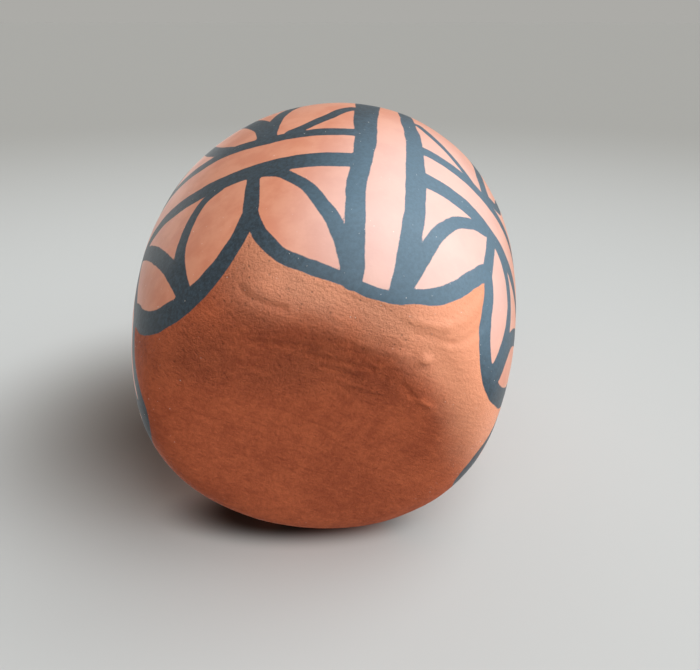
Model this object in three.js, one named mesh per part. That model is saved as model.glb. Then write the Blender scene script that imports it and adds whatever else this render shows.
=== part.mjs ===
import * as THREE from 'three';

// Small coil-built jar of the pueblo kind, in millimetres, +Z up. The origin is under the middle of the
// belly, on the surface that the jar stands on. The potter presses a flat cake of clay into a saucer-like
// mould, lays rings of rolled clay on it one above the other, pinches each down the inside of the course
// below, and scrapes and polishes the outside smooth. Inside, the courses still show as soft ripples.

// Driving sizes
const bodyRadius = 26; // mean radius at the belly
const bellyHeight = 28.2; // from the ground to the widest place
const footRadius = 12.5; // edge of the flat foot that the jar stands on
const heelRadius = 18.6; // radius towards which the wall closes below
const heelRise = 6; // height at which the rounding of the foot runs into the wall
const shoulderRise = 17.9; // from the belly to the flat top of the shoulder
const shoulderInset = 11.7; // radius towards which the shoulder closes
const mouthRadius = 11.4; // clear radius of the mouth
const lipRise = 3.4; // from the flat top of the shoulder to the crest of the lip
const wallThickness = 3.2;
const baseThickness = 4.2;
const floorRadius = 13; // flat middle of the floor inside
const lipThickness = 2.6;
const lipFlare = 0.9; // how far the lip leans out over its neck
const wallCoils = 7; // courses of rolled clay between the base and the rim
const baseWallHeight = 12.9; // climb of the moulded base, along the outside from the edge of its foot
const jointLap = 2.6; // reach of a course down the inside of the one below
const rippleDepth = 0.35; // groove left inside between two courses

// Fullness of the curves: 2 is an ellipse and more is squarer
const heelFullness = 1.53;
const footRoundness = 0.5; // how far the flat foot and the wall run on into the rounding
const shoulderFullness = 2.79;
const shoulderEnd = THREE.MathUtils.degToRad(72); // where the shoulder turns up into the lip

// The jar is turned by hand, not on a wheel, so it is a little oval and a little three-sided
const ovalShare = 0.0295;
const ovalDirection = THREE.MathUtils.degToRad(162);
const trefoilShare = 0.0093;
const trefoilDirection = THREE.MathUtils.degToRad(112.5);

// Its foot sits a little off the middle of the belly, and the heel takes that up as it rises
const footShift = 1.5;
const footShiftDirection = THREE.MathUtils.degToRad(-90);
const footShiftRise = 10; // height at which the wall is back over the middle

// How finely the curves are cut into facets
const facetsAround = 64;
const outerFacets = 3;
const innerFacets = 4;
const heelFacets = 9;
const rimFacets = 7;
const lipFacets = 5;

const bareClay = { color: 0xb5613b, roughness: 0.78, metalness: 0 };
const orangeSlip = { color: 0xdf8a62, roughness: 0.46, metalness: 0 };

// Part of a superellipse in the plane of radius and height, between two angles of a quarter
class FullCurve extends THREE.Curve {
  constructor(centre, across, rise, fullness, from, to) {
    super();
    Object.assign(this, { centre, across, rise, from, to, power: 2 / fullness });
  }

  getPoint(t, target = new THREE.Vector2()) {
    const angle = this.from + (this.to - this.from) * t;
    const across = Math.max(Math.cos(angle), 0) ** this.power;
    const rise = Math.sign(angle) * Math.abs(Math.sin(angle)) ** this.power;
    return target.set(this.centre.x + this.across * across, this.centre.y + this.rise * rise);
  }
}

// The outside of the wall as one path of radius and height, from the edge of the foot to the side of the lip
function outerWall() {
  const heelStart = -Math.asin((1 - heelRise / bellyHeight) ** (heelFullness / 2));
  const heel = new FullCurve(
    new THREE.Vector2(heelRadius, bellyHeight),
    bodyRadius - heelRadius, bellyHeight, heelFullness, heelStart, 0);
  const foot = new THREE.Vector2(footRadius, 0);
  const reach = foot.distanceTo(heel.getPoint(0)) * footRoundness;
  const rounding = new THREE.CubicBezierCurve(
    foot,
    foot.clone().setX(footRadius + reach),
    heel.getPoint(0).addScaledVector(heel.getTangent(0), -reach),
    heel.getPoint(0));
  const shoulder = new FullCurve(
    new THREE.Vector2(shoulderInset, bellyHeight),
    bodyRadius - shoulderInset, shoulderRise, shoulderFullness, 0, shoulderEnd);
  const crest = bellyHeight + shoulderRise + lipRise;
  const start = shoulder.getPoint(1);
  const side = new THREE.Vector2(mouthRadius + lipThickness, crest - lipThickness / 2);
  const sweep = start.distanceTo(side) / 2;
  const leave = start.clone().addScaledVector(shoulder.getTangent(1), sweep);
  const arrive = new THREE.Vector2(side.x - lipFlare, side.y - sweep);
  const collar = new THREE.CubicBezierCurve(start, leave, arrive, side);
  const wall = new THREE.CurvePath();
  [rounding, heel, shoulder, collar].forEach((curve) => wall.add(curve));
  return wall;
}

const wall = outerWall();
const wallLength = wall.getLength();

// The courses share the wall above the base evenly, and the rim is one course more
const courseHeight = (wallLength - baseWallHeight) / (wallCoils + 1);
const courseStart = (course) => baseWallHeight + courseHeight * course;

// A point on the outside of the wall, at a distance along it from the edge of the foot
const outside = (along) => wall.getPoint(along / wallLength);

// The wall thins out to the lip over its last course
const thickness = (along) => THREE.MathUtils.lerp(
  wallThickness, lipThickness, THREE.MathUtils.smoothstep(along, wallLength - courseHeight, wallLength));

// The point inside the wall that faces the outside there, proud of the bare wall by some swell
function inside(along, swell = 0) {
  const tangent = wall.getTangent(along / wallLength);
  const inward = new THREE.Vector2(-tangent.y, tangent.x);
  return outside(along).addScaledVector(inward, thickness(along) + swell);
}

// Points of a line that a function of 0 to 1 draws, in a number of steps
const steps = (count, point) => Array.from({ length: count + 1 }, (_, step) => point(step / count));

// Turns an outline of radius and height into a solid ring or disc, then gives it the hand-made shape
function turned(name, outline, finish) {
  const geometry = new THREE.LatheGeometry(outline, facetsAround);
  geometry.rotateX(Math.PI / 2);
  const place = geometry.attributes.position;
  for (let i = 0; i < place.count; i++) {
    const azimuth = Math.atan2(place.getY(i), place.getX(i));
    const oval = ovalShare * Math.cos(2 * (azimuth - ovalDirection));
    const trefoil = trefoilShare * Math.cos(3 * (azimuth - trefoilDirection));
    const share = 1 + oval + trefoil;
    const shift = footShift * (1 - THREE.MathUtils.smoothstep(place.getZ(i), 0, footShiftRise));
    const x = place.getX(i) * share + shift * Math.cos(footShiftDirection);
    const y = place.getY(i) * share + shift * Math.sin(footShiftDirection);
    place.setXY(i, x, y);
  }
  geometry.computeVertexNormals();
  const mesh = new THREE.Mesh(geometry, new THREE.MeshStandardMaterial(finish));
  mesh.name = name;
  return mesh;
}

// The moulded base: a flat foot, the rounded heel, and a floor that rounds up into the wall
function mouldedBase() {
  const heel = steps(heelFacets, (t) => outside(baseWallHeight * t));
  const top = inside(baseWallHeight - jointLap);
  const slope = wall.getTangent((baseWallHeight - jointLap) / wallLength);
  const floorEdge = new THREE.Vector2(floorRadius, baseThickness);
  const reach = top.distanceTo(floorEdge) / 3;
  const round = new THREE.CubicBezierCurve(
    top,
    top.clone().addScaledVector(slope, -reach),
    floorEdge.clone().setX(floorEdge.x + reach),
    floorEdge).getPoints(innerFacets);
  const underside = new THREE.Vector2(0, 0);
  const floor = new THREE.Vector2(0, baseThickness);
  return turned('moulded_base', [underside, ...heel, ...round, floor], bareClay);
}

// One course: smooth outside, swelling a little inside, with slanting faces that lap its neighbours
function course(number) {
  const from = courseStart(number);
  const to = courseStart(number + 1);
  const outer = steps(outerFacets, (t) => outside(from + courseHeight * t));
  const swell = (t) => rippleDepth * (1 - Math.cos(2 * Math.PI * t)) / 2;
  const inner = steps(innerFacets, (t) => inside(to - jointLap - courseHeight * t, swell(t)));
  return turned(`wall_coil_${number + 1}`, [...outer, ...inner, outer[0]], orangeSlip);
}

// The last course ends in a rounded lip and reaches down inside the one below
function rim() {
  const from = courseStart(wallCoils);
  const outer = steps(rimFacets, (t) => outside(THREE.MathUtils.lerp(from, wallLength, t)));
  const along = wall.getTangent(1);
  const outward = new THREE.Vector2(along.y, -along.x);
  const middle = outside(wallLength).lerp(inside(wallLength), 0.5);
  const crest = steps(lipFacets, (t) => middle.clone()
    .addScaledVector(outward, Math.cos(Math.PI * t) * lipThickness / 2)
    .addScaledVector(along, Math.sin(Math.PI * t) * lipThickness / 2));
  const inner = steps(rimFacets, (t) => inside(THREE.MathUtils.lerp(wallLength, from - jointLap, t)));
  return turned('rim_coil', [...outer, ...crest.slice(1), ...inner.slice(1), outer[0]], orangeSlip);
}

const jar = new THREE.Group();
jar.add(mouldedBase());
for (let number = 0; number < wallCoils; number++) {
  jar.add(course(number));
}
jar.add(rim());

export default jar;
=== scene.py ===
"""A small coil-built pueblo jar, hand-shaped, slipped orange and painted in black, in metres.

The moulded base, the wall coils and the rim coil are turned from the same profile as the frame's solids,
given the same hand-made shape, and then worn and painted. The camera looks up at the foot.
"""

import math

import bpy
import numpy as np
from mathutils import Matrix, Vector, noise

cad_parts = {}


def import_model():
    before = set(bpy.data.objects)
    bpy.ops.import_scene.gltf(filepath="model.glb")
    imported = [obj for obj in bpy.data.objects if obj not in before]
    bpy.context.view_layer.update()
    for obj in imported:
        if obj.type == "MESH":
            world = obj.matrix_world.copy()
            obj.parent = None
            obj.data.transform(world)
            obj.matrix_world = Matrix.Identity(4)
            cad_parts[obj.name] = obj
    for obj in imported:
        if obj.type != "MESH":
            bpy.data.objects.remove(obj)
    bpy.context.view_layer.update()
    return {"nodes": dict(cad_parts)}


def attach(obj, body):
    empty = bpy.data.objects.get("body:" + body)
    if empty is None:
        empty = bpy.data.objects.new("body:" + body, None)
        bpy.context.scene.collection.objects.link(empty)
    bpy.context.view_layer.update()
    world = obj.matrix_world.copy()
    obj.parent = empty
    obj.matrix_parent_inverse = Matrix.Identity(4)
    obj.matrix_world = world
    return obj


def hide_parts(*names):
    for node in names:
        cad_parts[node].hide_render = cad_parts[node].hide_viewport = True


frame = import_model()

MM = 0.001

# Sizes of the jar, as in the frame
BODY_RADIUS = 26 * MM  # mean radius at the belly
BELLY_HEIGHT = 28.2 * MM  # from the ground to the widest place
FOOT_RADIUS = 12.5 * MM  # edge of the flat foot that the jar stands on
HEEL_RADIUS = 18.6 * MM  # radius towards which the wall closes below
HEEL_RISE = 6 * MM  # height at which the rounding of the foot runs into the wall
SHOULDER_RISE = 17.9 * MM  # from the belly to the flat top of the shoulder
SHOULDER_INSET = 11.7 * MM  # radius towards which the shoulder closes
MOUTH_RADIUS = 11.4 * MM  # clear radius of the mouth
LIP_RISE = 3.4 * MM  # from the flat top of the shoulder to the crest of the lip
WALL_THICKNESS = 3.2 * MM
BASE_THICKNESS = 4.2 * MM
FLOOR_RADIUS = 13 * MM  # flat middle of the floor inside
LIP_THICKNESS = 2.6 * MM
LIP_FLARE = 0.9 * MM  # how far the lip leans out over its neck
LIP_COATED = 3 * MM  # how far past its crest the coats can run down inside the lip
WALL_COILS = sum(name.startswith("wall_coil_") for name in frame["nodes"])
BASE_WALL_HEIGHT = 12.9 * MM  # climb of the moulded base, along the outside from the edge of its foot
JOINT_LAP = 2.6 * MM  # reach of a course down the inside of the one below
RIPPLE_DEPTH = 0.35 * MM  # groove left inside between two courses

# Fullness of the curves: 2 is an ellipse and more is squarer
HEEL_FULLNESS = 1.53
FOOT_ROUNDNESS = 0.5  # how far the flat foot and the wall run on into the rounding
SHOULDER_FULLNESS = 2.79
SHOULDER_END = math.radians(72)  # where the shoulder turns up into the lip

# The jar is a little oval and a little three-sided, and its foot sits a little off the middle
OVAL_SHARE, OVAL_DIRECTION = 0.0295, math.radians(162)
TREFOIL_SHARE, TREFOIL_DIRECTION = 0.0093, math.radians(112.5)
FOOT_SHIFT, FOOT_SHIFT_DIRECTION = 1.5 * MM, math.radians(-90)
FOOT_SHIFT_RISE = 10 * MM  # height at which the wall is back over the middle

# The potter scraped the heel on one side: how deep and towards where, where along the wall the scraping
# sets in, is deepest and ends, how much higher it sets in on one hand, and the cosines that it fades between
SCRAPE_DEPTH, SCRAPE_DIRECTION = 1.1 * MM, math.radians(117)
SCRAPE_START, SCRAPE_MIDDLE, SCRAPE_END = 1.2 * MM, 6.2 * MM, 19 * MM
SCRAPE_SLANT = 2 * MM
SCRAPE_SIDES = (0.64, 0.92)

# Unevenness of the skin, broad and fine: how wide its lumps are, how deep, and their place in the noise
SKIN_LUMPS = ((7 * MM, 0.16 * MM, 0.0), (2.2 * MM, 0.03 * MM, 5.0))

# Marks that the hand left on the underside: two ends, half width and rise, in millimetres
HAND_MARKS = (
    ((-11.7, 10.8), (-11.4, 10.9), 0.9, 0.42),
    ((-9.2, 7.8), (-10.5, 6.2), 0.6, -0.16),
    ((-11.3, 5.8), (-12.7, 4.8), 0.5, 0.2),
    ((-9.8, 15.7), (-14.0, 14.2), 0.8, 0.14),
    ((-14.0, 14.2), (-17.6, 13.6), 0.8, 0.14),
    ((-10.4, 14.0), (-14.8, 12.4), 0.7, -0.12),
    ((-14.8, 12.4), (-18.2, 11.9), 0.7, -0.12),
    ((8.8, 18.3), (3.6, 17.3), 0.6, -0.24),
    ((1.4, 11.9), (-6.0, 9.8), 0.6, -0.15),
    ((-0.4, 10.2), (-4.2, 8.8), 0.5, -0.13),
    ((7.5, 13.2), (1.0, 13.0), 0.6, -0.12),
    ((-4.2, 13.4), (-9.5, 11.6), 0.6, 0.13),
    ((-2.0, 8.2), (-7.0, 6.6), 0.5, 0.1),
)
HAND_MARKS_TOP = 9 * MM  # height that the marks stay below

# How finely the surface is cut
COLUMNS = 600
OUTER_STEP = 0.3 * MM
INNER_STEP = 0.6 * MM
CURVE_POINTS = 2000
FLOOR_CURVE_POINTS = 12
CREST_POINTS = 17
FOOT_MIDDLE, FLOOR_MIDDLE = 0.9 * MM, 1.2 * MM  # smallest ring round the middle, below and inside
SURFACE_INSET = 0.05 * MM  # keeps the round surface inside the faceted box
WELD = 0.001 * MM
SMOOTH_ANGLE = math.radians(35)

# Columns of a section's rows, and the way along the wall that is given to what isn't on it
RADIUS, HEIGHT, ALONG, NORMAL, SIDE = 0, 1, 2, slice(3, 5), 5
POINT = slice(0, 2)
OFF_WALL = -1.0


# Profile of the wall
def full_curve(centre, across, rise, fullness, start, end):
    """Part of a superellipse in the plane of radius and height"""
    angle = np.linspace(start, end, CURVE_POINTS)
    power = 2 / fullness
    radius = centre[0] + across * np.maximum(np.cos(angle), 0) ** power
    height = centre[1] + rise * np.sign(angle) * np.abs(np.sin(angle)) ** power
    return np.column_stack((radius, height))


def bezier(points, count=CURVE_POINTS):
    """A cubic curve from the first of four points to the last, drawn towards the two between them"""
    t = np.linspace(0, 1, count)[:, None]
    a, b, c, d = (np.asarray(point) for point in points)
    return (1 - t) ** 3 * a + 3 * (1 - t) ** 2 * t * b + 3 * (1 - t) * t ** 2 * c + t ** 3 * d


def outer_wall():
    """The outside of the wall from the edge of the foot to the side of the lip"""
    heel_start = -math.asin((1 - HEEL_RISE / BELLY_HEIGHT) ** (HEEL_FULLNESS / 2))
    heel = full_curve(
        (HEEL_RADIUS, BELLY_HEIGHT), BODY_RADIUS - HEEL_RADIUS, BELLY_HEIGHT,
        HEEL_FULLNESS, heel_start, 0)
    foot = np.array((FOOT_RADIUS, 0))
    reach = np.linalg.norm(heel[0] - foot) * FOOT_ROUNDNESS
    rising = (heel[1] - heel[0]) / np.linalg.norm(heel[1] - heel[0])
    rounding = bezier((foot, foot + (reach, 0), heel[0] - rising * reach, heel[0]))
    shoulder = full_curve(
        (SHOULDER_INSET, BELLY_HEIGHT), BODY_RADIUS - SHOULDER_INSET, SHOULDER_RISE,
        SHOULDER_FULLNESS, 0, SHOULDER_END)
    crest = BELLY_HEIGHT + SHOULDER_RISE + LIP_RISE
    start = shoulder[-1]
    heading = (shoulder[-1] - shoulder[-2]) / np.linalg.norm(shoulder[-1] - shoulder[-2])
    side = np.array((MOUTH_RADIUS + LIP_THICKNESS, crest - LIP_THICKNESS / 2))
    sweep = np.linalg.norm(side - start) / 2
    arrive = side - (LIP_FLARE, sweep)
    collar = bezier((start, start + heading * sweep, arrive, side))
    return np.vstack((rounding, heel[1:], shoulder[1:], collar[1:]))


WALL = outer_wall()
WALL_ALONG = np.append(0, np.cumsum(np.linalg.norm(np.diff(WALL, axis=0), axis=1)))
WALL_LENGTH = WALL_ALONG[-1]
WALL_SLOPE = np.gradient(WALL, WALL_ALONG, axis=0)
WALL_SLOPE /= np.linalg.norm(WALL_SLOPE, axis=1)[:, None]

# The courses share the wall above the base evenly, and the rim is one course more
COURSE_HEIGHT = (WALL_LENGTH - BASE_WALL_HEIGHT) / (WALL_COILS + 1)


def along_wall(table, along):
    """Values of a table that goes with WALL, at distances along it"""
    return np.column_stack([np.interp(along, WALL_ALONG, table[:, axis]) for axis in (0, 1)])


def outward(along):
    slope = along_wall(WALL_SLOPE, along)
    return np.column_stack((slope[:, 1], -slope[:, 0]))


def smoothstep(low, high, value):
    t = np.clip((value - low) / (high - low), 0, 1)
    return t * t * (3 - 2 * t)


def rows(points, along, normal, side):
    """Section rows: radius, height, way along the wall, normal, and 1 for outside or 0 for inside"""
    along = np.broadcast_to(along, len(points))
    normal = np.broadcast_to(normal, points.shape)
    return np.column_stack((points, along, normal, np.full(len(points), side)))


def outer_rows(start, end):
    """Section rows up the outside of the wall"""
    along = np.linspace(start, end, max(2, round((end - start) / OUTER_STEP) + 1))
    return rows(along_wall(WALL, along), along, outward(along), 1)


def inner_rows(start, end, swell=0.0):
    """Section rows down the inside of the wall, with the ripple of one course"""
    count = max(2, round(abs(end - start) / INNER_STEP) + 1)
    along = np.linspace(start, end, count)
    ripple = swell * (1 - np.cos(2 * np.pi * np.linspace(0, 1, count))) / 2
    thin = smoothstep(WALL_LENGTH - COURSE_HEIGHT, WALL_LENGTH, along)
    depth = WALL_THICKNESS + (LIP_THICKNESS - WALL_THICKNESS) * thin + ripple
    normal = outward(along)
    return rows(along_wall(WALL, along) - normal * depth[:, None], along, normal, 0)


# Pieces
def drawn(name, section):
    """Draws a section point by point as a chain of edges, and turns it round the jar"""
    bpy.ops.object.select_all(action="DESELECT")
    bpy.ops.mesh.primitive_plane_add(size=MM)
    piece = bpy.context.object
    piece.name = piece.data.name = name
    points = [Vector((row[RADIUS], 0, row[HEIGHT])) for row in section]
    bpy.ops.object.mode_set(mode="EDIT")
    bpy.ops.mesh.merge(type="CENTER")
    bpy.ops.transform.translate(value=points[0])
    for here, there in zip(points, points[1:]):
        bpy.ops.mesh.extrude_vertices_move(TRANSFORM_OT_translate={"value": there - here})
    bpy.ops.object.mode_set(mode="OBJECT")
    lathe = piece.modifiers.new("lathe", "SCREW")
    lathe.angle = 2 * math.pi
    lathe.steps = lathe.render_steps = COLUMNS
    lathe.use_merge_vertices = True
    lathe.merge_threshold = WELD
    bpy.ops.object.modifier_apply(modifier=lathe.name)
    bpy.ops.object.mode_set(mode="EDIT")
    bpy.ops.mesh.select_all(action="SELECT")
    bpy.ops.mesh.remove_doubles(threshold=WELD)
    bpy.ops.mesh.normals_make_consistent(inside=False)
    bpy.ops.object.mode_set(mode="OBJECT")
    return piece


def vertices_of(piece):
    place = np.empty(len(piece.data.vertices) * 3, np.float32)
    piece.data.vertices.foreach_get("co", place)
    return place.reshape(-1, 3).astype(float)


def nearest_rows(place, section):
    """The section row that each turned vertex comes from"""
    aside = np.hypot(place[:, 0], place[:, 1])[:, None] - section[None, :, RADIUS]
    below = place[:, 2, None] - section[None, :, HEIGHT]
    return section[(aside ** 2 + below ** 2).argmin(1)]


def hand_share(azimuth):
    """How far the hand-made outline stands out or in from a circle"""
    oval = OVAL_SHARE * np.cos(2 * (azimuth - OVAL_DIRECTION))
    return 1 + oval + TREFOIL_SHARE * np.cos(3 * (azimuth - TREFOIL_DIRECTION))


def lumps(place, size, depth, seed):
    """Soft unevenness of that width and depth, from 0 to depth"""
    move = Vector((seed, seed, seed))
    values = [noise.noise(Vector(point) / size + move) for point in place]
    return depth * (0.5 + 0.5 * np.array(values))


def hand_marks(place):
    """How far the marks on the underside stand out, in metres"""
    rise = np.zeros(len(place))
    spot = place[:, :2] / MM
    under = place[:, 2] < HAND_MARKS_TOP
    for start, end, width, height in HAND_MARKS:
        start, reach = np.array(start), np.subtract(end, start)
        share = np.clip((spot - start) @ reach / (reach @ reach), 0, 1)
        gap = np.linalg.norm(spot - start - share[:, None] * reach, axis=1)
        rise += np.where(under, height * MM * (1 - smoothstep(0, width, gap)), 0)
    return rise


def scraped(azimuth, along):
    """How much the potter scraped away beside the foot, on the side that shows in the photograph"""
    turned = azimuth - SCRAPE_DIRECTION
    start = smoothstep(SCRAPE_START, SCRAPE_MIDDLE, along + SCRAPE_SLANT * np.sin(turned))
    end = smoothstep(SCRAPE_MIDDLE, SCRAPE_END, along)
    return SCRAPE_DEPTH * smoothstep(*SCRAPE_SIDES, np.cos(turned)) * start * (1 - end)


def shaped(piece, section):
    """Gives the turned piece its hand-made form, and returns what the paint needs to know"""
    place = vertices_of(piece)
    row = nearest_rows(place, section)
    along, normal, side = row[:, ALONG], row[:, NORMAL], row[:, SIDE]
    azimuth = np.arctan2(place[:, 1], place[:, 0])
    sink = sum((lumps(place, *layer) for layer in SKIN_LUMPS), start=SURFACE_INSET)
    sink = np.maximum(sink + (scraped(azimuth, along) - hand_marks(place)) * side, 0)
    radius = np.hypot(place[:, 0], place[:, 1]) - normal[:, 0] * sink
    share = hand_share(azimuth)
    height = place[:, 2] - normal[:, 1] * sink
    shift = FOOT_SHIFT * (1 - smoothstep(0, FOOT_SHIFT_RISE, height))
    x = radius * share * np.cos(azimuth) + shift * math.cos(FOOT_SHIFT_DIRECTION)
    y = radius * share * np.sin(azimuth) + shift * math.sin(FOOT_SHIFT_DIRECTION)
    moved = np.column_stack((x, y, height))
    piece.data.vertices.foreach_set("co", moved.astype(np.float32).ravel())
    piece.data.update()
    return azimuth, along, radius * share, side


def wall_piece(node, section):
    """Turns, shapes and paints the piece that stands for a node"""
    piece = drawn(f"{node}_clay", section)
    paint, slip = painted(*shaped(piece, section))
    for label, values in (("paint_edge", paint), ("slip_edge", slip)):
        attribute = piece.data.attributes.new(label, "FLOAT", "POINT")
        attribute.data.foreach_set("value", values.astype(np.float32))
    bpy.ops.object.shade_smooth_by_angle(angle=SMOOTH_ANGLE)
    piece.data.materials.append(PAINTED_CLAY)
    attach(piece, "root")
    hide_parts(node)


def moulded_base():
    """Flat foot, rounded heel, slanting joint, and a floor that rounds up into the wall"""
    radius = np.append(0, np.linspace(FOOT_MIDDLE, FOOT_RADIUS, round(FOOT_RADIUS / OUTER_STEP)))
    flat = np.column_stack((radius, 0 * radius))
    under = rows(flat, radius - FOOT_RADIUS, (0, -1), 1)
    heel = outer_rows(0, BASE_WALL_HEIGHT)
    top = inner_rows(BASE_WALL_HEIGHT - JOINT_LAP, BASE_WALL_HEIGHT - JOINT_LAP)[0]
    away, upward = top[NORMAL]
    slope = np.array((-upward, away))
    edge = np.array((FLOOR_RADIUS, BASE_THICKNESS))
    reach = np.linalg.norm(edge - top[POINT]) / 3
    curve = bezier((top[POINT], top[POINT] - slope * reach, edge + (reach, 0), edge), FLOOR_CURVE_POINTS)
    radius = np.append(np.linspace(FLOOR_RADIUS, FLOOR_MIDDLE, round(FLOOR_RADIUS / INNER_STEP)), 0)[1:]
    floor_rings = np.column_stack((radius, np.full(len(radius), BASE_THICKNESS)))
    inside = rows(np.vstack((curve, floor_rings)), OFF_WALL, (0, -1), 0)
    wall_piece("moulded_base", np.vstack((under, heel[1:], inside)))


def wall_coil(number):
    """One course of rolled clay, lapping down inside the one below"""
    low = BASE_WALL_HEIGHT + COURSE_HEIGHT * number
    high = low + COURSE_HEIGHT
    outer = outer_rows(low, high)
    inner = inner_rows(high - JOINT_LAP, low - JOINT_LAP, RIPPLE_DEPTH)
    wall_piece(f"wall_coil_{number + 1}", np.vstack((outer, inner, outer[:1])))


def rim_coil():
    """The last course, drawn up into a rounded lip"""
    low = WALL_LENGTH - COURSE_HEIGHT
    outer = outer_rows(low, WALL_LENGTH)
    inner = inner_rows(WALL_LENGTH, low - JOINT_LAP)
    middle = (outer[-1, POINT] + inner[0, POINT]) / 2
    away = outer[-1, NORMAL]
    upward = np.array((-away[1], away[0]))
    turn = np.linspace(0, math.pi, CREST_POINTS)[1:-1]
    bend = np.cos(turn)[:, None] * away + np.sin(turn)[:, None] * upward
    crest = rows(middle + bend * LIP_THICKNESS / 2, WALL_LENGTH + turn * LIP_THICKNESS / 2, bend, 1)

    # Past the crest the way along counts on, so that the coats can run over it and a little down inside,
    # and the normals turn, so that the skin sinks away from the mouth
    over = WALL_LENGTH + math.pi * LIP_THICKNESS / 2
    inner[:, NORMAL] *= -1
    inner[:, ALONG] = over + WALL_LENGTH - inner[:, ALONG]
    inner[:, SIDE] = inner[:, ALONG] < over + LIP_COATED
    wall_piece("rim_coil", np.vstack((outer, crest, inner, outer[:1])))


# Paint, in millimetres and degrees
LIP_SLIP = 6.5  # from the side of the lip, over its crest, to where the slip ends
LIP_LINE = 4.0  # from the side of the lip, over its crest, to where its black line ends
FAR = 5.0  # given to what no paint comes near
WASH_REACH = 12.0  # farther than the thin wash of slip runs down over the base
PATTERN_START = 5.4  # along the wall from the edge of the foot, where the strokes' heights count from
SPAN_STEPS = 8  # pieces of a stroke between two of its points
DEGREES_PER_MM = 3  # at least as many as a millimetre covers on the painted wall
TINY = 1e-9  # keeps a stretch of no length from dividing by zero
CUSP_HEIGHT = 12.6  # of the points where two scallops meet
LOW_CUSP_HEIGHT = CUSP_HEIGHT - 1.4
CUSP_WIDTHS = (1, .95, .85)

# Each stroke is a list of points, as the share of the way across its scallop and the height along the
# wall, with half widths at its start, middle and end. The first lower stroke is where the slip ends.
STRIPE_LOWER = (
    ([(0, CUSP_HEIGHT), (.013, 10.8), (.04, 8.9), (.074, 7.4), (.115, 6.2), (.165, 5.3), (.23, 4.6),
      (.3, 3.9), (.365, 3.4), (.435, 2.8), (.5, 2.3), (.57, 2.2), (.63, 2.5), (.706, 3.5), (.775, 4.4),
      (.832, 5.6), (.888, 7.4), (.94, 9.8), (.975, 11.6), (1, CUSP_HEIGHT)], (.9, .75, 1.05)),
    ([(.045, 19), (.109, 18.2), (.16, 16.8), (.217, 15), (.273, 12.2), (.32, 10), (.365, 7.5), (.4, 5),
      (.415, 3.4)], (.75, .85, .9)),
    ([(.655, 4.3), (.675, 6), (.695, 8), (.727, 11.2), (.764, 13.5), (.803, 15.4), (.848, 16.8), (.888, 17.8),
      (.945, 18.7)], (.95, .88, .8)),
)
STRIPE_UPPER = (
    ([(.036, 28), (.044, 32), (.057, 34.8), (.08, 37.5), (.13, 40.6), (.269, 43.5), (.529, 44.6),
      (.734, 43.5), (.89, 40.5), (.945, 36.5), (.95, 32), (.966, 28)], (1, .95, 1.05)),
    ([(.13, 27.6), (.165, 28.3), (.228, 30.2), (.279, 32), (.32, 33.9), (.36, 35.2)], (.9, .85, .8)),
    ([(.88, 27), (.837, 28), (.792, 29.2), (.74, 30.9), (.683, 32.7), (.635, 34.6)], (.5, .55, .6)),
)
UPRIGHTS = (
    ([(.43, 3), (.427, 5), (.417, 7.5), (.406, 11), (.4, 14), (.4, 16), (.407, 19), (.414, 22), (.418, 26),
      (.413, 30), (.416, 34), (.424, 39), (.43, 44)], (1.1, 1.15, 1.8)),
    ([(.64, 3), (.634, 8), (.628, 12), (.623, 16), (.617, 20), (.611, 24), (.6, 30), (.587, 34), (.586, 44)],
     (1.25, 1.3, .95)),
)
PLAIN_LOWER = (
    ([(0, CUSP_HEIGHT), (.02, 12.1), (.095, 9.2), (.17, 7.4), (.24, 6.3), (.3, 5.7), (.36, 5.3), (.42, 5),
      (.5, 4.8), (.6, 4.9), (.7, 5.3), (.82, 6.6), (.9, 8.1), (.96, 10), (1, CUSP_HEIGHT)], (1.3, 1.35, 1)),
    ([(.545, 6.2), (.53, 8.4), (.525, 10.4), (.54, 12.3), (.56, 13.7), (.585, 15.2), (.63, 17.2), (.7, 18.8),
      (.79, 19.6)], (1.05, .95, .8)),
    ([(.545, 5.5), (.525, 6.8), (.49, 8.5), (.45, 10.4), (.395, 12.8), (.31, 16), (.205, 19.5), (.13, 21.7),
      (.07, 23.3)], (1, 1.05, 1)),
)
SIDE_LOWER = (
    ([(0, CUSP_HEIGHT), (.06, 10.4), (.14, 8), (.24, 6), (.35, 4.8), (.45, 4), (.53, 3.3), (.62, 2.8),
      (.71, 2.8), (.77, 3.3), (.82, 4.5), (.855, 6.3), (.91, 9.4), (1, CUSP_HEIGHT)], (1.1, 1.15, 1.1)),
    ([(.66, 4), (.65, 8), (.61, 12), (.53, 15.5), (.42, 18), (.28, 19.3)], (1, .9, .8)),
    ([(.68, 4), (.7, 8), (.735, 12), (.78, 15.5), (.85, 18.6), (.93, 22.6)], (1, .9, .9)),
)
BACK_LOWER = (
    ([(0, LOW_CUSP_HEIGHT), (.05, 8.4), (.12, 5.2), (.22, 3.1), (.37, 2.4), (.52, 2.1), (.67, 2.5),
      (.78, 4.2), (.88, 7.6), (1, CUSP_HEIGHT)], (1.15, 1.1, 1)),
    ([(.49, 3.5), (.48, 8), (.45, 11), (.38, 14.4), (.26, 17.6), (.1, 19)], (1, .85, .9)),
    ([(.53, 3.5), (.54, 8), (.57, 11), (.64, 14.4), (.76, 17.6), (.9, 19)], (1, .85, .9)),
)
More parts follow.
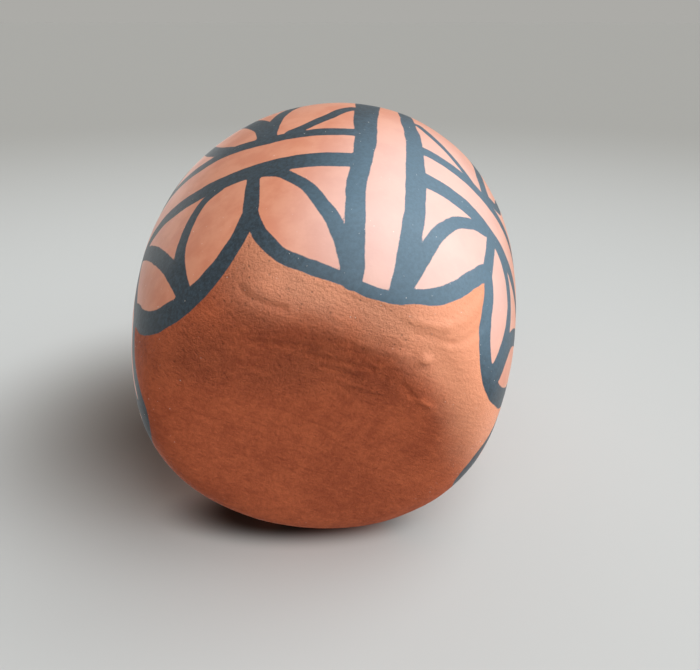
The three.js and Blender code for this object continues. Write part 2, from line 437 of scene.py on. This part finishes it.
NARROW_LOWER = (
    ([(0, CUSP_HEIGHT), (.04, 11.4), (.085, 9.9), (.13, 7.8), (.21, 5.6), (.31, 4.3), (.41, 3.6), (.51, 3.4),
      (.615, 3.9), (.715, 4.8), (.82, 6.2), (.92, 8.1), (1, LOW_CUSP_HEIGHT)], (.95, 1.15, 1.15)),
    ([(.47, 5), (.465, 8), (.44, 10.5), (.405, 12.5), (.36, 14.7), (.295, 16.6), (.2, 18.1), (.1, 19)],
     (1, .85, .9)),
    ([(.52, 5), (.53, 8), (.545, 10.5), (.6, 12.5), (.67, 14.2), (.75, 16.1), (.83, 17.8), (.92, 19)],
     (.9, 1.1, 1.1)),
)
PLAIN_UPPER = (
    ([(.03, 30.7), (.07, 33), (.14, 36.5), (.2, 39.5), (.3, 41.8), (.4, 43), (.525, 43.5), (.657, 42.6),
      (.76, 40.6), (.85, 38), (.942, 34.5), (1.01, 31.2), (1.04, 28)], (1.1, 1, 1.35)),
    ([(.82, 28.2), (.74, 30.2), (.67, 32.2), (.61, 34.5), (.555, 37.5), (.53, 42)], (.9, 1, .9)),
    ([(.2, 30.8), (.27, 31.8), (.35, 34), (.42, 37), (.48, 40), (.51, 42)], (.8, .8, .9)),
)
SIDE_UPPER = (
    ([(.02, 27.6), (.06, 31.8), (.14, 36.5), (.2, 39.5), (.3, 41.8), (.4, 43), (.525, 43.5), (.657, 42.6),
      (.76, 40.6), (.85, 38), (.935, 34.6), (.98, 31.4)], (1.1, 1, 1.1)),
    ([(.82, 30.2), (.76, 31.6), (.69, 33.3), (.62, 35.4), (.56, 38), (.53, 42)], (.9, 1, .9)),
    ([(.19, 27.8), (.27, 31), (.35, 34), (.42, 37), (.48, 40), (.51, 42)], (.8, .8, .9)),
)
NARROW_UPPER = (
    ([(-.02, 28), (.122, 29.6), (.17, 32), (.24, 35), (.33, 38), (.45, 40), (.58, 40), (.7, 38), (.8, 35),
      (.87, 32), (.95, 28)], (.9, .9, .9)),
)

# Each scallop: azimuth of its two cusps, its lower and upper strokes, and whether it has a stripe
SCALLOPS = (
    (15, 68.3, PLAIN_LOWER, PLAIN_UPPER, False),
    (68.3, 141.7, STRIPE_LOWER, STRIPE_UPPER, True),
    (141.7, 182.5, NARROW_LOWER, NARROW_UPPER, False),
    (182.5, 216, BACK_LOWER, NARROW_UPPER, False),
    (216, 249, NARROW_LOWER, NARROW_UPPER, False),
    (249, 322, STRIPE_LOWER, STRIPE_UPPER, True),
    (322, 375, SIDE_LOWER, SIDE_UPPER, False),
)

# Each band runs from one pair of uprights to the other. Its lower line comes before its upper one, as
# azimuth and height, with their half widths.
BANDS = (
    ([(115, 20), (130, 19.9), (145, 19.7), (200, 19.8), (277.6, 20)], (1.5, 1.3, 1.3)),
    ([(114.5, 26.6), (130, 26.4), (145, 26.5), (200, 26.6), (277.6, 26.6)], (.95, 1, .95)),
    ([(296.5, 20), (330, 20.2), (350, 21.2), (365, 22.6), (378, 23.6), (392, 23.1), (400, 22.2), (410, 21.1),
      (420, 20.5), (435, 20.1), (457, 20.1)], (1.3, 1.2, 1.45)),
    ([(296.5, 26.6), (330, 27), (350, 28.3), (365, 29.8), (380, 30.9), (391, 30.8), (400, 30.1), (408, 29.2),
      (416, 28.5), (422, 27.8), (428.5, 27.1), (435, 26.8), (457, 26.7)], (.95, 1.1, .95)),
)


def smooth_line(points):
    """A smooth line through the points, as a brush would take it"""
    p = np.asarray(points, float)
    p = np.vstack((2 * p[0] - p[1], p, 2 * p[-1] - p[-2]))
    t = np.linspace(0, 1, SPAN_STEPS, endpoint=False)[:, None]
    spans = []
    for a, b, c, d in zip(p, p[1:], p[2:], p[3:]):
        squared = (2 * a - 5 * b + 4 * c - d) * t ** 2
        cubed = (3 * (b - c) + d - a) * t ** 3
        spans.append((2 * b + (c - a) * t + squared + cubed) / 2)
    return np.vstack((*spans, p[-2:-1]))


def stroke(points, widths):
    """A brush stroke, as rows of azimuth, height and half width"""
    line = smooth_line(points)
    width = np.interp(np.linspace(0, 2, len(line)), (0, 1, 2), widths)
    return np.column_stack((line, width))


def laid(strokes, left, right):
    """Strokes of a scallop, laid between its cusps"""
    return [
        stroke([(left + (right - left) * share, height) for share, height in points], widths)
        for points, widths in strokes]


def turned_past(start, azimuth):
    """The same azimuth, counted on from a start"""
    return (azimuth - start) % 360 + start


def band_height(azimuth):
    """Height of the lower line of the band that crosses this azimuth"""
    for points, _ in BANDS:
        across, height = np.transpose(points)
        turned = turned_past(across[0], azimuth)
        if turned <= across[-1]:
            return np.interp(turned, across, height)


def pattern():
    """All strokes, and apart from them the outlines that the slip ends at"""
    strokes, outlines = [], []
    for left, right, lower, upper, striped in SCALLOPS:
        below = laid(lower, left, right)
        outlines.append(below[0])
        strokes += below + laid(upper, left, right)
        strokes.append(stroke([(left, CUSP_HEIGHT), (left, band_height(left))], CUSP_WIDTHS))
        if striped:
            strokes += laid(UPRIGHTS, left, right)
    strokes += [stroke(points, widths) for points, widths in BANDS]
    return strokes, outlines


def stroke_distance(line, azimuth, height, radius, nearest, reach):
    """Lowers nearest to the distance from each point to the stroke's edge, as far as it reaches"""
    for a, b in zip(line, line[1:]):
        middle = (a[0] + b[0]) / 2
        turn = (azimuth - middle + 180) % 360 - 180
        beside = np.abs(turn) < abs(b[0] - a[0]) / 2 + DEGREES_PER_MM * reach
        level = np.abs(height - (a[1] + b[1]) / 2) < abs(b[1] - a[1]) / 2 + reach
        close = np.flatnonzero(beside & level)
        if not len(close):
            continue
        scale = np.radians(1) * radius[close]
        ax = (a[0] - middle) * scale
        bx = (b[0] - middle) * scale
        px = turn[close] * scale
        py = height[close] - a[1]
        dx, dy = bx - ax, b[1] - a[1]
        t = np.clip(((px - ax) * dx + py * dy) / (dx * dx + dy * dy + TINY), 0, 1)
        gap = np.hypot(px - ax - t * dx, py - t * dy) - (a[2] + (b[2] - a[2]) * t)
        nearest[close] = np.minimum(nearest[close], gap)


def painted(azimuth, along, radius, side):
    """Distance to the edge of the black paint, below 0 on it, and to the edge of the slip, above 0 on it"""
    azimuth, radius = np.degrees(azimuth), radius / MM
    height = along / MM - PATTERN_START
    paint = np.full(len(along), FAR)
    for line in STROKES:
        stroke_distance(line, azimuth, height, radius, paint, FAR)
    edge = np.full(len(along), WASH_REACH)
    for line in OUTLINES:
        thin = np.column_stack((line[:, :2], 0 * line[:, 2]))
        stroke_distance(thin, azimuth, height, radius, edge, WASH_REACH)
    across, rise = np.vstack([line[:, :2] for line in OUTLINES]).T
    border = np.interp(turned_past(across[0], azimuth), across, rise)
    slip = np.where(height > border, edge, -edge)
    lip = WALL_LENGTH / MM - PATTERN_START
    slip = np.minimum(slip, lip + LIP_SLIP - height)
    paint = np.minimum(paint, np.abs(height - lip - LIP_LINE / 2) - LIP_LINE / 2)
    inside = side < 0.5
    return np.where(inside, FAR, paint), np.where(inside, -WASH_REACH, slip)


# Materials
def srgb(red, green, blue):
    """A screen colour of 0 to 255 as the linear one that a shader takes"""
    def linear(value):
        value /= 255
        return value / 12.92 if value < 0.04045 else ((value + 0.055) / 1.055) ** 2.4
    return (linear(red), linear(green), linear(blue), 1)


CLAY_DARK, CLAY_LIGHT = srgb(172, 82, 50), srgb(206, 106, 66)
# The first is painted shade in the pits; the second is a thin wash of slip, paler than the clay, whose colour
# also paints in the light on the heel's window side
CLAY_PIT_SHADE, CLAY_WASH_AND_LIGHT = srgb(92, 42, 30), srgb(252, 165, 123)
# Slip colours, lighter at random, and a painted sheen: the slip turns paler where the window's reflection
# falls
SLIP_DARK, SLIP_LIGHT, SLIP_PAINTED_SHEEN = srgb(222, 134, 98), srgb(232, 150, 114), srgb(255, 221, 212)
# Paint colours, lighter at random, and a painted sheen: a pale blue where the window's reflection falls
PAINT_DARK, PAINT_LIGHT, PAINT_PAINTED_SHEEN = srgb(22, 34, 42), srgb(50, 68, 80), srgb(146, 186, 210)
# Pale mica with its glint painted in, as near-white specks
PAINTED_MICA_GLINT = srgb(255, 244, 232)

# Roughness of each layer, the share of polish on it, and how much of it covers what is below
CLAY_ROUGHNESS, WASH_ROUGHNESS, SLIP_ROUGHNESS, PAINT_ROUGHNESS = 0.74, 0.5, 0.46, 0.52
WASH_POLISH, SLIP_POLISH, PAINT_POLISH = 0.3, 0.8, 0.5
# Shares of the painted shade in the pits, of the wash with its painted light, and of the painted sheen on
# slip and paint
PIT_SHADE_COVER, WASH_AND_LIGHT_COVER, SLIP_PAINTED_SHEEN_COVER, PAINT_PAINTED_SHEEN_COVER = 0.35, 0.9, 0.54, 0.5
BUMP_DEPTH = 0.12 * MM
MICA_SIZE = 0.14

# Where a finish, a painted light or a painted sheen comes and goes, as a direction and the distances along
# it, in millimetres
DRAG_SIDE = ((0, 1, 0), 2.0, 9.0)
DRAG_LEFT = ((1, 0, 0), -15.0, -5.0)
# The wash is strongest towards the window lamp, where its paler colour is partly painted light
WASH_AND_LIGHT_SIDE = ((-0.64, 0.77, 0), 2.5, 13.0)
# Painted sheen: slip and paint turn paler along this direction, towards the window
PAINTED_SHEEN_SIDE = ((-0.5, 0.85, -0.35), 10.5, 18.5)
# Ring of the heel that the wash and its painted light cover
WASH_AND_LIGHT_MIDDLE = (2.5, -3.5)
WASH_AND_LIGHT_RADII = (16.8, 22.2)

# The hand dragged grit over the base in this direction, which drew its marks out this many times
DRAG_DIRECTION, DRAG_STRETCH = math.radians(20), 4.5


def add(tree, kind, inputs=None, **settings):
    """A node with its settings, and with values or links on its inputs"""
    node = tree.nodes.new(kind)
    for name, value in settings.items():
        setattr(node, name, value)
    for name, value in (inputs or {}).items():
        socket = node.inputs[name]
        if isinstance(value, bpy.types.NodeSocket):
            tree.links.new(value, socket)
        else:
            socket.default_value = value
    return node


def math_node(tree, operation, *values):
    return add(tree, "ShaderNodeMath", dict(enumerate(values)), operation=operation).outputs[0]


def product(tree, value, *factors):
    for factor in factors:
        value = math_node(tree, "MULTIPLY", value, factor)
    return value


def weighted(tree, *parts):
    """The sum of some values, each times its weight"""
    total = 0.0
    for value, weight in parts:
        total = math_node(tree, "MULTIPLY_ADD", value, weight, total)
    return total


def centred(tree, value, depth):
    """A height of 0 to 1 moved to rise as far as it sinks, so that its depth lifts nothing as a whole"""
    return product(tree, math_node(tree, "SUBTRACT", value, 0.5), depth)


def texture(tree, vector, scale, detail=2.0, roughness=0.5):
    inputs = {"Vector": vector, "Scale": scale, "Detail": detail, "Roughness": roughness}
    return add(tree, "ShaderNodeTexNoise", inputs).outputs["Fac"]


def between(tree, value, low, high, to_low=0.0, to_high=1.0):
    """A value taken from one range to another with soft ends"""
    inputs = {"Value": value, "From Min": low, "From Max": high, "To Min": to_low, "To Max": to_high}
    return add(tree, "ShaderNodeMapRange", inputs, interpolation_type="SMOOTHSTEP").outputs["Result"]


def blend_colour(tree, mask, below, above):
    return add(tree, "ShaderNodeMix", {0: mask, 6: below, 7: above}, data_type="RGBA").outputs[2]


def blend_value(tree, mask, below, above):
    return add(tree, "ShaderNodeMix", {0: mask, 2: below, 3: above}, data_type="FLOAT").outputs[0]


def mapped(tree, vector, **inputs):
    """A vector with its place, rotation or scale changed"""
    inputs = {name.title(): value for name, value in inputs.items()}
    return add(tree, "ShaderNodeMapping", {"Vector": vector, **inputs}).outputs[0]


def length(tree, vector):
    return add(tree, "ShaderNodeVectorMath", {0: vector}, operation="LENGTH").outputs["Value"]


def along_direction(tree, vector, direction, low, high):
    """0 to 1 as the place goes along a direction from one distance to another"""
    along = add(tree, "ShaderNodeVectorMath", {0: vector, 1: direction}, operation="DOT_PRODUCT")
    return between(tree, along.outputs["Value"], low, high)


def group(name, inputs, outputs):
    """A new node group: its tree, and the sockets that give it values and take its results"""
    tree = bpy.data.node_groups.new(name, "ShaderNodeTree")
    for label, kind in inputs:
        tree.interface.new_socket(label, in_out="INPUT", socket_type=kind)
    for label, kind in outputs:
        tree.interface.new_socket(label, in_out="OUTPUT", socket_type=kind)
    return tree, tree.nodes.new("NodeGroupInput").outputs, tree.nodes.new("NodeGroupOutput").inputs


def use_group(tree, used, inputs):
    return add(tree, "ShaderNodeGroup", inputs, node_tree=used).outputs


def clay_body_group():
    """Coarse hand-dug clay: its tone, its height with pits and drag marks, and the pits alone"""
    tree, given, result = group(
        "clay_body",
        [("Vector", "NodeSocketVector"), ("Dragged", "NodeSocketFloat")],
        [("Tone", "NodeSocketFloat"), ("Height", "NodeSocketFloat"), ("Pits", "NodeSocketFloat")])
    vector, dragged = given["Vector"], given["Dragged"]

    # Turned out of line with the axes, so that the noise draws no rows on the flat foot
    tumbled = mapped(tree, vector, rotation=(0.6, 0.9, 0.4))
    cloud = texture(tree, tumbled, scale=0.16)
    patch = texture(tree, tumbled, scale=0.9, detail=3.0, roughness=0.6)
    grain = texture(tree, tumbled, scale=2.4, detail=4.0, roughness=0.75)

    # Streaks that the hand drew out
    streaked = {"Vector": vector, "Rotation": (0, 0, DRAG_DIRECTION), "Scale": (DRAG_STRETCH, 1, 1)}
    streaked = add(tree, "ShaderNodeMapping", streaked, vector_type="TEXTURE").outputs[0]
    drag = texture(tree, streaked, scale=1.7, detail=3.0, roughness=0.6)

    # Pits where grit fell out, of uneven size, with a rim that the grain roughens. Half the cells have none.
    cells = add(tree, "ShaderNodeTexVoronoi", {"Vector": tumbled, "Scale": 1.7}).outputs
    chance = add(tree, "ShaderNodeSeparateColor", {"Color": cells["Color"]}).outputs["Green"]
    width = math_node(tree, "MULTIPLY", chance, 0.34)
    rim = math_node(tree, "MULTIPLY_ADD", grain, 0.25, cells["Distance"])
    rim = math_node(tree, "DIVIDE", math_node(tree, "SUBTRACT", rim, 0.12), width)
    pit = between(tree, rim, 0.3, 1.0, to_low=1.0, to_high=0.0)
    common = between(tree, chance, 0.5, 0.8)
    pit = product(tree, pit, common, math_node(tree, "MULTIPLY_ADD", dragged, 0.95, 0.05))

    tone = weighted(tree, (cloud, 0.25), (patch, 0.25), (grain, 0.35), (drag, 0.15))
    rough = centred(tree, grain, math_node(tree, "MULTIPLY_ADD", dragged, 4.2, 1.2))
    furrow = centred(tree, drag, math_node(tree, "MULTIPLY_ADD", dragged, 2.2, 0.7))
    height = weighted(tree, (rough, 1.0), (furrow, 1.0), (patch, 0.6), (pit, -1.4))
    tree.links.new(tone, result["Tone"])
    tree.links.new(height, result["Height"])
    # The pits alone, which the colour darkens as painted shade
    tree.links.new(pit, result["Pits"])
    return tree


def mica_group():
    """A mask of tiny pale mica flakes, whose glints are painted into the colour, sparse and of uneven size
    and brightness
    """
    tree, given, result = group(
        "mica_glints",
        [("Vector", "NodeSocketVector"), ("Size", "NodeSocketFloat")],
        [("Mask", "NodeSocketFloat")])
    cells = add(tree, "ShaderNodeTexVoronoi", {"Vector": given["Vector"], "Scale": 1.9}).outputs
    chance = add(tree, "ShaderNodeSeparateColor", {"Color": cells["Color"]}).outputs
    width = math_node(tree, "MULTIPLY", chance["Red"], given["Size"])
    near = math_node(tree, "LESS_THAN", cells["Distance"], width)
    rare = math_node(tree, "GREATER_THAN", chance["Blue"], 0.7)
    shine = math_node(tree, "MULTIPLY_ADD", chance["Green"], 0.7, 0.1)
    tree.links.new(product(tree, near, rare, shine), result["Mask"])
    return tree


def brushed_edge_group():
    """Turns a distance to a coat's edge, below 0 on the coat, into its mask with a hand-brushed border"""
    tree, given, result = group(
        "brushed_edge",
        [("Distance", "NodeSocketFloat"), ("Vector", "NodeSocketVector"),
         ("Waver", "NodeSocketFloat"), ("Softness", "NodeSocketFloat")],
        [("Mask", "NodeSocketFloat")])
    broad = math_node(tree, "SUBTRACT", texture(tree, given["Vector"], scale=0.45, detail=1.0), 0.5)
    fine = math_node(tree, "SUBTRACT", texture(tree, given["Vector"], scale=3.0), 0.5)
    waver = math_node(tree, "MULTIPLY_ADD", fine, 0.35, broad)
    moved = math_node(tree, "MULTIPLY_ADD", waver, given["Waver"], given["Distance"])
    scaled = math_node(tree, "DIVIDE", moved, given["Softness"])
    mask = between(tree, scaled, -1.0, 1.0, to_low=1.0, to_high=0.0)
    tree.links.new(mask, result["Mask"])
    return tree


def dragged_mask(tree, vector):
    """Beside the foot, on the side that shows in the photograph, where the hand dragged the clay"""
    patches = texture(tree, vector, scale=0.16, detail=1.0)
    uneven = between(tree, patches, 0.3, 0.6, to_low=0.45)
    return product(
        tree, along_direction(tree, vector, *DRAG_SIDE), along_direction(tree, vector, *DRAG_LEFT), uneven)


def wash_and_light_mask(tree, vector):
    """The thin wash of slip over the heel, strongest on the side that the window lamp lights, where its paler
    colour is partly painted light
    """
    x, y = WASH_AND_LIGHT_MIDDLE
    radius = length(tree, mapped(tree, vector, location=(-x, -y, 0), scale=(1, 1, 0)))
    radius = math_node(tree, "MULTIPLY_ADD", texture(tree, vector, scale=0.3), 2.4, radius)
    return product(tree, between(tree, radius, *WASH_AND_LIGHT_RADII), along_direction(tree, vector, *WASH_AND_LIGHT_SIDE))


def clay_colour(tree, clay, wash_and_light):
    colour = blend_colour(tree, between(tree, clay["Tone"], 0.38, 0.62), CLAY_DARK, CLAY_LIGHT)
    # The paler wash of slip, partly painted light on the window's side
    colour = blend_colour(tree, product(tree, wash_and_light, WASH_AND_LIGHT_COVER), colour, CLAY_WASH_AND_LIGHT)
    # Painted shade in the pits
    return blend_colour(tree, product(tree, clay["Pits"], PIT_SHADE_COVER), colour, CLAY_PIT_SHADE)


def coat_colours(tree, vector):
    """Colours of the slip and the paint, both made paler on one side by a painted sheen, where the window's
    reflection falls
    """
    painted_sheen = product(tree, along_direction(tree, vector, *PAINTED_SHEEN_SIDE), SLIP_PAINTED_SHEEN_COVER)
    slip_tone = between(tree, texture(tree, vector, scale=0.3, detail=4.0, roughness=0.6), 0.36, 0.64)
    slip = blend_colour(tree, slip_tone, SLIP_DARK, SLIP_LIGHT)
    slip = blend_colour(tree, painted_sheen, slip, SLIP_PAINTED_SHEEN)
    paint_tone = between(tree, texture(tree, vector, scale=2.2, detail=5.0, roughness=0.75), 0.34, 0.66)
    paint = blend_colour(tree, paint_tone, PAINT_DARK, PAINT_LIGHT)
    paint = blend_colour(tree, product(tree, painted_sheen, PAINT_PAINTED_SHEEN_COVER), paint, PAINT_PAINTED_SHEEN)
    return slip, paint


def relief(tree, vector, clay, coated):
    """The rough clay, and on the coats the slight marks of the polishing stone"""
    rubbed = texture(tree, mapped(tree, vector, scale=(1, 1, 3)), scale=0.5)
    fine = texture(tree, vector, scale=3.5, detail=3.0, roughness=0.6)
    smooth = weighted(tree, (rubbed, 0.22), (fine, 0.1))
    height = blend_value(tree, coated, clay["Height"], smooth)
    return add(tree, "ShaderNodeBump", {"Distance": BUMP_DEPTH, "Height": height}).outputs[0]


def painted_clay():
    """Bare clay with a thin wash of slip on the heel, burnished orange slip above, and black paint over it,
    with painted light on the heel, painted sheen, painted glints and painted shade in the pits
    """
    material = bpy.data.materials.new("painted_clay")
    material.use_nodes = True
    tree = material.node_tree
    tree.nodes.clear()
    place = add(tree, "ShaderNodeTexCoord").outputs["Object"]
    vector = mapped(tree, place, scale=(1 / MM, 1 / MM, 1 / MM))

    # Masks of the layers, from the bottom up
    clay = use_group(tree, CLAY_BODY, {"Vector": vector, "Dragged": dragged_mask(tree, vector)})
    # Thin wash of slip on the heel, whose paler colour also paints in the light on the window's side
    wash_and_light = wash_and_light_mask(tree, vector)
    slip_edge = add(tree, "ShaderNodeAttribute", attribute_name="slip_edge").outputs["Fac"]
    slip_edge = {"Distance": product(tree, slip_edge, -1.0), "Vector": vector, "Waver": 0.5, "Softness": 0.2}
    slip = use_group(tree, BRUSHED_EDGE, slip_edge)["Mask"]
    paint_edge = add(tree, "ShaderNodeAttribute", attribute_name="paint_edge").outputs["Fac"]
    paint_edge = {"Distance": paint_edge, "Vector": vector, "Waver": 0.3, "Softness": 0.07}
    paint = use_group(tree, BRUSHED_EDGE, paint_edge)["Mask"]
    glint = use_group(tree, MICA_GLINTS, {"Vector": vector, "Size": MICA_SIZE})["Mask"]

    # Each layer over the one below
    slip_colour, paint_colour = coat_colours(tree, vector)
    colour = blend_colour(tree, slip, clay_colour(tree, clay, wash_and_light), slip_colour)
    colour = blend_colour(tree, paint, colour, paint_colour)
    # Pale mica flakes, their glints painted in
    colour = blend_colour(tree, glint, colour, PAINTED_MICA_GLINT)
    roughness = blend_value(tree, wash_and_light, CLAY_ROUGHNESS, WASH_ROUGHNESS)
    roughness = blend_value(tree, slip, roughness, SLIP_ROUGHNESS)
    roughness = blend_value(tree, paint, roughness, PAINT_ROUGHNESS)
    polish = blend_value(tree, slip, product(tree, wash_and_light, WASH_POLISH), SLIP_POLISH)
    polish = blend_value(tree, paint, polish, PAINT_POLISH)
    normal = relief(tree, vector, clay, math_node(tree, "MAXIMUM", slip, paint))
    shader = add(tree, "ShaderNodeBsdfPrincipled", {
        "Base Color": colour, "Roughness": roughness, "Specular IOR Level": 0.25, "Coat Weight": polish,
        "Coat Roughness": 0.48, "Coat IOR": 1.65, "Normal": normal})
    add(tree, "ShaderNodeOutputMaterial", {"Surface": shader.outputs[0]})
    return material


# Stage
CAMERA_AIM = Vector((-3.35, -2.67, 21.44)) * MM
CAMERA_PLACE = Vector((-3.35, 58.89, -62.38)) * MM
CAMERA_ROLL = math.radians(3.14)
CAMERA_LENS = 38.17
CAMERA_CLIP = 1 * MM
GROUND_NORMAL = Vector((0.050, 0.976, 0.212)).normalized()
GROUND_TOUCH = Vector((-1.08, -21.5, 4.42)) * MM
TABLE_NORMAL = Vector((0, 0, 1))
TABLE_TOUCH = Vector((0, 0, 0))
FLOOR_SIZE = 6.0
# The floor's near colour darkens to its far one away from the jar, a painted falloff of the light
FLOOR_NEAR, FLOOR_FAR = srgb(208, 205, 200), srgb(168, 163, 156)
FLOOR_FADE = (30 * MM, 400 * MM)  # distances from the jar between which the one turns into the other
BACKDROP = srgb(172, 171, 167)
ROOM_WHITE, ROOM_LIGHT = (1, 1, 1, 1), 0.2

# The soft shade that the jar gives the ground, from where they touch: middle, how far it is squeezed
# sideways, where it starts and ends, in millimetres, its strength, and its colour
GROUND_SHADES = (
    ((-26, 30), 1.0, 4, 46, 0.8, srgb(80, 66, 54)),
    ((-10, -8), 1.0, 8, 70, 0.1, srgb(80, 66, 54)),
    ((-5, 1), 0.42, 3.2, 8, 1.0, srgb(58, 42, 36)),
)
TABLE_SHADES = (((0, -1.5), 1.0, 12, 24, 0.9, srgb(70, 60, 54)),)

# Soft lamps: the direction that each one's light comes from, its spread, strength and colour
LAMP_DISTANCE = 0.3
LAMPS = (
    ("window", (-0.64, 0.76, 0.02), math.radians(84), 1.12, (0.86, 0.94, 1.0)),
    ("room_front", (0.0, 0.72, -0.69), math.radians(60), 0.26, (1, 1, 1)),
    ("cloth_side", (-0.74, -0.63, -0.26), math.radians(60), 0.18, (1, 1, 1)),
    ("room_back", (0.4, -0.6, 0.7), math.radians(60), 0.6, (1, 1, 1)),
)


def camera():
    """Looks up at the foot of the jar, which lies on its side on the ground"""
    back = (CAMERA_PLACE - CAMERA_AIM).normalized()
    right = Vector((0, 1, 0)).cross(back).normalized()
    turn = Matrix((right, back.cross(right), back)).transposed()
    eye = bpy.data.objects.new("camera", bpy.data.cameras.new("camera"))
    bpy.context.collection.objects.link(eye)
    eye.data.lens = CAMERA_LENS
    eye.data.clip_start = CAMERA_CLIP
    eye.location = CAMERA_PLACE
    eye.rotation_euler = (turn @ Matrix.Rotation(CAMERA_ROLL, 3, "Z")).to_euler()
    bpy.context.scene.camera = eye


def lamp(name, direction, spread, strength, colour):
    """Even light from a wide round patch of the surround"""
    light = bpy.data.lights.new(name, "SUN")
    light.angle = spread
    light.energy = strength * math.pi
    light.color = colour
    lit = bpy.data.objects.new(name, light)
    bpy.context.collection.objects.link(lit)
    toward = Vector(direction).normalized()
    lit.location = toward * LAMP_DISTANCE
    lit.rotation_euler = toward.to_track_quat("Z", "Y").to_euler()


def to_camera(tree):
    """1 for what the camera sees, straight or in a mirror or glass, and 0 for light that falls on the jar"""
    path = add(tree, "ShaderNodeLightPath").outputs
    mirrored = math_node(tree, "MAXIMUM", path["Is Glossy Ray"], path["Is Transmission Ray"])
    return math_node(tree, "MAXIMUM", path["Is Camera Ray"], mirrored)


def pale_floor(name, shades):
    """Seen by the camera from its upper side only, so that it hides and darkens nothing"""
    material = bpy.data.materials.new(name)
    material.use_nodes = True
    tree = material.node_tree
    tree.nodes.clear()
    facing = math_node(tree, "SUBTRACT", 1.0, add(tree, "ShaderNodeNewGeometry").outputs["Backfacing"])
    seen = product(tree, to_camera(tree), facing)
    place = add(tree, "ShaderNodeTexCoord").outputs["Object"]
    # A painted falloff of light: the floor darkens with distance from the jar
    colour = blend_colour(tree, between(tree, length(tree, place), *FLOOR_FADE), FLOOR_NEAR, FLOOR_FAR)
    for (x, y), squeeze, near, far, strength, shade in shades:
        spot = mapped(tree, place, location=(-x * squeeze * MM, -y * MM, 0), scale=(squeeze, 1, 1))
        mask = between(tree, length(tree, spot), near * MM, far * MM, to_low=strength, to_high=0.0)
        colour = blend_colour(tree, mask, colour, shade)
    plain = add(tree, "ShaderNodeBsdfDiffuse", {"Color": colour}).outputs[0]
    clear = add(tree, "ShaderNodeBsdfTransparent").outputs[0]
    mixed = add(tree, "ShaderNodeMixShader", {0: seen, 1: clear, 2: plain}).outputs[0]
    add(tree, "ShaderNodeOutputMaterial", {"Surface": mixed})
    return material


def floor(name, touch, normal, material):
    """A wide plane with its middle where the jar touches it"""
    turn = normal.to_track_quat("Z", "Y").to_euler()
    bpy.ops.object.select_all(action="DESELECT")
    bpy.ops.mesh.primitive_plane_add(size=FLOOR_SIZE, location=touch, rotation=turn)
    ground = bpy.context.object
    ground.name = name
    ground.data.materials.append(material)


def world():
    """Even white light on the jar, and a pale backdrop for the camera"""
    sky = bpy.data.worlds.new("soft_room")
    bpy.context.scene.world = sky
    sky.use_nodes = True
    tree = sky.node_tree
    tree.nodes.clear()
    room = add(tree, "ShaderNodeBackground", {"Color": ROOM_WHITE, "Strength": ROOM_LIGHT}).outputs[0]
    backdrop = add(tree, "ShaderNodeBackground", {"Color": BACKDROP}).outputs[0]
    mixed = add(tree, "ShaderNodeMixShader", {0: to_camera(tree), 1: room, 2: backdrop}).outputs[0]
    add(tree, "ShaderNodeOutputWorld", {"Surface": mixed})


CLAY_BODY = clay_body_group()
MICA_GLINTS = mica_group()
BRUSHED_EDGE = brushed_edge_group()
PAINTED_CLAY = painted_clay()
STROKES, OUTLINES = pattern()
moulded_base()
for number in range(WALL_COILS):
    wall_coil(number)
rim_coil()

camera()
for settings in LAMPS:
    lamp(*settings)
world()
floor("ground", GROUND_TOUCH, GROUND_NORMAL, pale_floor("ground_cloth", GROUND_SHADES))
floor("table", TABLE_TOUCH, TABLE_NORMAL, pale_floor("table_cloth", TABLE_SHADES))
bpy.context.scene.view_settings.view_transform = "Standard"
